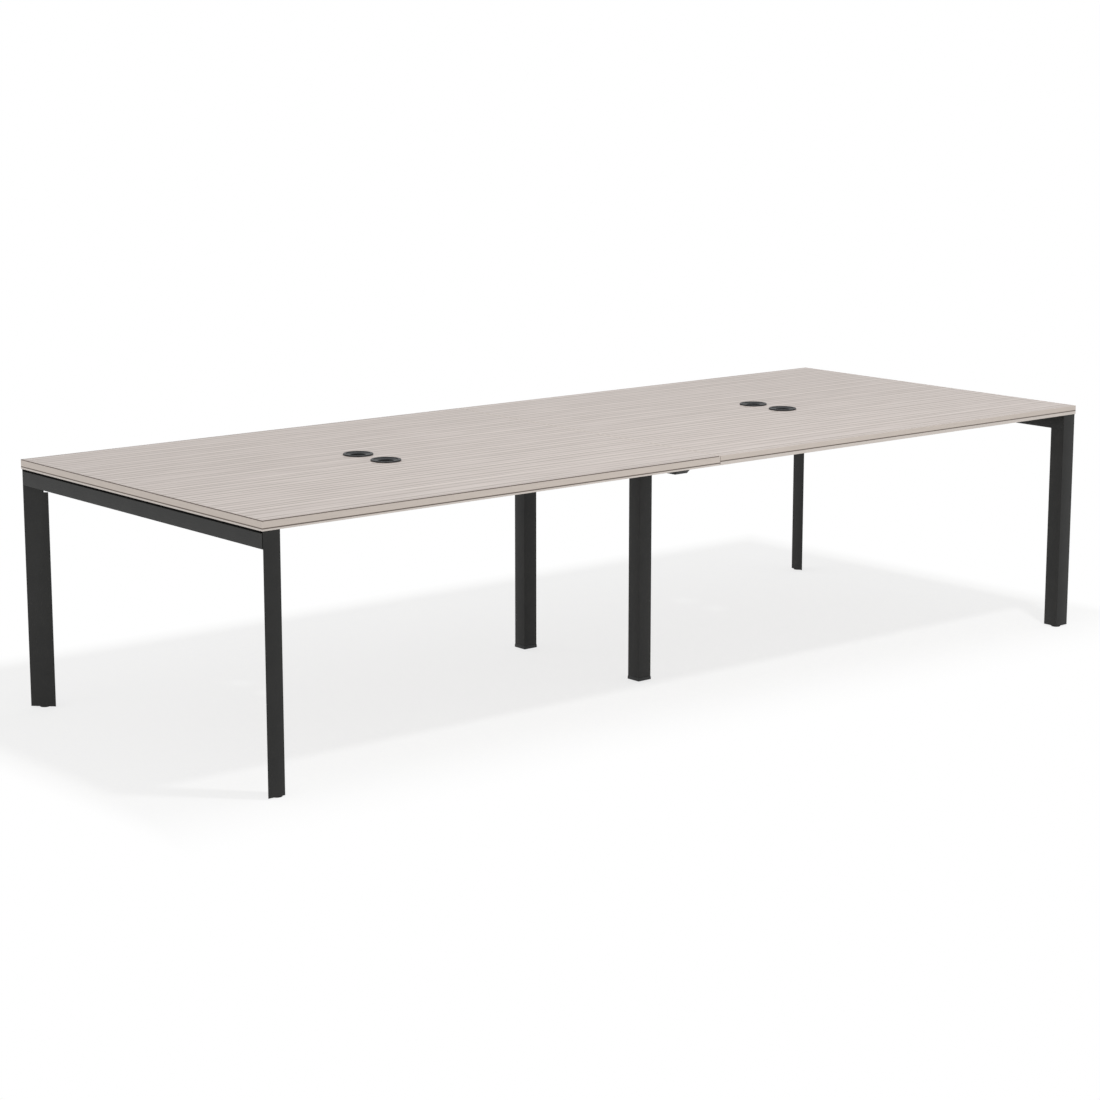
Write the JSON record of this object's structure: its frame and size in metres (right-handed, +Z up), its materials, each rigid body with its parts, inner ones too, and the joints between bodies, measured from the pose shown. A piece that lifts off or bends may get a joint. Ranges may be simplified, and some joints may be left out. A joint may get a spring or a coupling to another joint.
{
  "type": "multi-person bench desk",
  "caption": "Long rectangular bench desk: pale woodgrain tops on a dark metal frame with triangular end legs and an inset middle support, round cable grommets and levelling feet.",
  "frame": {"origin": "on the floor, under the middle of the desk", "axes": "+X along the length of the desk, +Y to the back long edge, +Z up"},
  "size_m": [3.2, 1.25, 0.7445],
  "materials": {
    "laminate": "matt woodgrain melamine",
    "edge_band": "woodgrain ABS edging",
    "frame_coat": "anthracite powder coat",
    "black_plastic": "moulded black",
    "rubber": "black strip",
    "zinc_steel": "zinc plated"
  },
  "bodies": {
    "desk": {"beam_bolt_inner_back_left": "zinc_steel", "beam_bolt_inner_back_right": "zinc_steel", "beam_bolt_inner_front_left": "zinc_steel", "beam_bolt_inner_front_right": "zinc_steel", "beam_bolt_outer_back_left": "zinc_steel", "beam_bolt_outer_back_right": "zinc_steel", "beam_bolt_outer_front_left": "zinc_steel", "beam_bolt_outer_front_right": "zinc_steel", "edge_band_left": "edge_band", "edge_band_right": "edge_band", "end_rail_left": "frame_coat", "end_rail_right": "frame_coat", "grommet_liner_back_left": "black_plastic", "grommet_liner_back_right": "black_plastic", "grommet_liner_front_left": "black_plastic", "grommet_liner_front_right": "black_plastic", "leg_back_left": "frame_coat", "leg_back_right": "frame_coat", "leg_bolt_back": "zinc_steel", "leg_bolt_front": "zinc_steel", "leg_front_left": "frame_coat", "leg_front_right": "frame_coat", "leg_insert_back_left": "black_plastic", "leg_insert_back_right": "black_plastic", "leg_insert_front_left": "black_plastic", "leg_insert_front_right": "black_plastic", "long_beam_back_left": "frame_coat", "long_beam_back_right": "frame_coat", "long_beam_front_left": "frame_coat", "long_beam_front_right": "frame_coat", "middle_beam": "frame_coat", "middle_leg_back": "frame_coat", "middle_leg_cap_back": "black_plastic", "middle_leg_cap_front": "black_plastic", "middle_leg_front": "frame_coat", "support_strip_left": "rubber", "support_strip_middle": "rubber", "support_strip_right": "rubber", "top_board_left": "laminate", "top_board_right": "laminate", "top_screw_back_left": "zinc_steel", "top_screw_back_right": "zinc_steel", "top_screw_front_left": "zinc_steel", "top_screw_front_right": "zinc_steel"},
    "pad_front_left": {"foot_pad_front_left": "black_plastic"},
    "stud_front_left": {"foot_stud_front_left": "zinc_steel"},
    "pad_front_right": {"foot_pad_front_right": "black_plastic"},
    "stud_front_right": {"foot_stud_front_right": "zinc_steel"},
    "pad_front_middle": {"foot_pad_front_middle": "black_plastic"},
    "stud_front_middle": {"foot_stud_front_middle": "zinc_steel"},
    "pad_back_left": {"foot_pad_back_left": "black_plastic"},
    "stud_back_left": {"foot_stud_back_left": "zinc_steel"},
    "pad_back_right": {"foot_pad_back_right": "black_plastic"},
    "stud_back_right": {"foot_stud_back_right": "zinc_steel"},
    "pad_back_middle": {"foot_pad_back_middle": "black_plastic"},
    "stud_back_middle": {"foot_stud_back_middle": "zinc_steel"},
    "cap_front_left": {"grommet_cap_front_left": "black_plastic"},
    "cap_back_left": {"grommet_cap_back_left": "black_plastic"},
    "cap_front_right": {"grommet_cap_front_right": "black_plastic"},
    "cap_back_right": {"grommet_cap_back_right": "black_plastic"}
  },
  "joints": [
    {"name": "foot_front_left_lower", "type": "slide", "parent": "desk", "child": "pad_front_left", "axis": [0, 0, -1], "range_m": [0, 0.01]},
    {"name": "foot_front_left_turn", "type": "hinge", "parent": "pad_front_left", "child": "stud_front_left", "pos_m": [-1.56032, -0.60768, 0.0035], "axis": [0, 0, -1], "range_deg": [0, 2880.5]},
    {"name": "foot_front_right_lower", "type": "slide", "parent": "desk", "child": "pad_front_right", "axis": [0, 0, -1], "range_m": [0, 0.01]},
    {"name": "foot_front_right_turn", "type": "hinge", "parent": "pad_front_right", "child": "stud_front_right", "pos_m": [1.56032, -0.60768, 0.0035], "axis": [0, 0, -1], "range_deg": [0, 2880.5]},
    {"name": "foot_front_middle_lower", "type": "slide", "parent": "desk", "child": "pad_front_middle", "axis": [0, 0, -1], "range_m": [0, 0.01]},
    {"name": "foot_front_middle_turn", "type": "hinge", "parent": "pad_front_middle", "child": "stud_front_middle", "pos_m": [0, -0.275, 0.0035], "axis": [0, 0, -1], "range_deg": [0, 2880.5]},
    {"name": "foot_back_left_lower", "type": "slide", "parent": "desk", "child": "pad_back_left", "axis": [0, 0, -1], "range_m": [0, 0.01]},
    {"name": "foot_back_left_turn", "type": "hinge", "parent": "pad_back_left", "child": "stud_back_left", "pos_m": [-1.56032, 0.60768, 0.0035], "axis": [0, 0, -1], "range_deg": [0, 2880.5]},
    {"name": "foot_back_right_lower", "type": "slide", "parent": "desk", "child": "pad_back_right", "axis": [0, 0, -1], "range_m": [0, 0.01]},
    {"name": "foot_back_right_turn", "type": "hinge", "parent": "pad_back_right", "child": "stud_back_right", "pos_m": [1.56032, 0.60768, 0.0035], "axis": [0, 0, -1], "range_deg": [0, 2880.5]},
    {"name": "foot_back_middle_lower", "type": "slide", "parent": "desk", "child": "pad_back_middle", "axis": [0, 0, -1], "range_m": [0, 0.01]},
    {"name": "foot_back_middle_turn", "type": "hinge", "parent": "pad_back_middle", "child": "stud_back_middle", "pos_m": [0, 0.275, 0.0035], "axis": [0, 0, -1], "range_deg": [0, 2880.5]},
    {"name": "grommet_front_left_turn", "type": "hinge", "parent": "desk", "child": "cap_front_left", "pos_m": [-0.8, -0.0685, 0.74], "axis": [0, 0, 1], "continuous": true},
    {"name": "grommet_back_left_turn", "type": "hinge", "parent": "desk", "child": "cap_back_left", "pos_m": [-0.8, 0.0685, 0.74], "axis": [0, 0, 1], "continuous": true},
    {"name": "grommet_front_right_turn", "type": "hinge", "parent": "desk", "child": "cap_front_right", "pos_m": [0.8, -0.0685, 0.74], "axis": [0, 0, 1], "continuous": true},
    {"name": "grommet_back_right_turn", "type": "hinge", "parent": "desk", "child": "cap_back_right", "pos_m": [0.8, 0.0685, 0.74], "axis": [0, 0, 1], "continuous": true}
  ],
  "couplings": [
    {"joint": "foot_front_left_turn", "follows": "foot_front_left_lower", "rad_per_m": 5026.5},
    {"joint": "foot_front_right_turn", "follows": "foot_front_right_lower", "rad_per_m": 5026.5},
    {"joint": "foot_front_middle_turn", "follows": "foot_front_middle_lower", "rad_per_m": 5026.5},
    {"joint": "foot_back_left_turn", "follows": "foot_back_left_lower", "rad_per_m": 5026.5},
    {"joint": "foot_back_right_turn", "follows": "foot_back_right_lower", "rad_per_m": 5026.5},
    {"joint": "foot_back_middle_turn", "follows": "foot_back_middle_lower", "rad_per_m": 5026.5}
  ]
}
